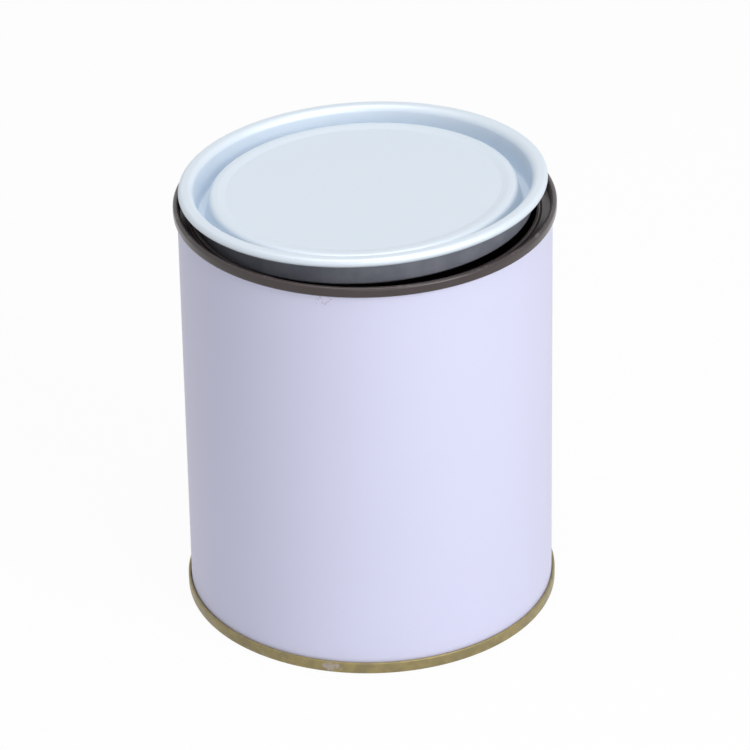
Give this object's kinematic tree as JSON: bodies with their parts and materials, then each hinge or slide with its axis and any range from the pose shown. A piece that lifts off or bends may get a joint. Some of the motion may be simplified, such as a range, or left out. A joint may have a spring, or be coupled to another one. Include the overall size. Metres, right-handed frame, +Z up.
{
  "type": "paint tin",
  "caption": "Plain round metal paint tin with double-seamed ends and a friction-fit plug lid lying askew in its top ring.",
  "frame": {"origin": "centre of the base, on the surface that the tin stands on", "axes": "+Z up along the tin's axis, +Y towards the side weld at the back, +X to the right seen from the front"},
  "size_m": [0.1108, 0.1108, 0.1365],
  "materials": {
    "body_white": "satin white coating on tinplate",
    "base_gold": "gold lacquer, slightly worn",
    "ring_bronze": "dark bronze lacquer, semi-gloss",
    "lid_enamel": "pale blue-white enamel above, dark grey lacquer below",
    "compound": "matt seam sealing compound"
  },
  "bodies": {
    "can": {"body_shell": "body_white", "bottom_end": "base_gold", "top_ring": "ring_bronze", "bottom_seam_compound": "compound", "top_seam_compound": "compound"},
    "lid": {"lid": "lid_enamel"}
  },
  "joints": [
    {"name": "lid_swing", "type": "hinge", "parent": "can", "child": "lid", "pos_m": [-0.11724, 0.09494, 0.1154], "axis": [-0.6293, -0.7771, 0], "range_deg": [-2.61, 45]}
  ]
}
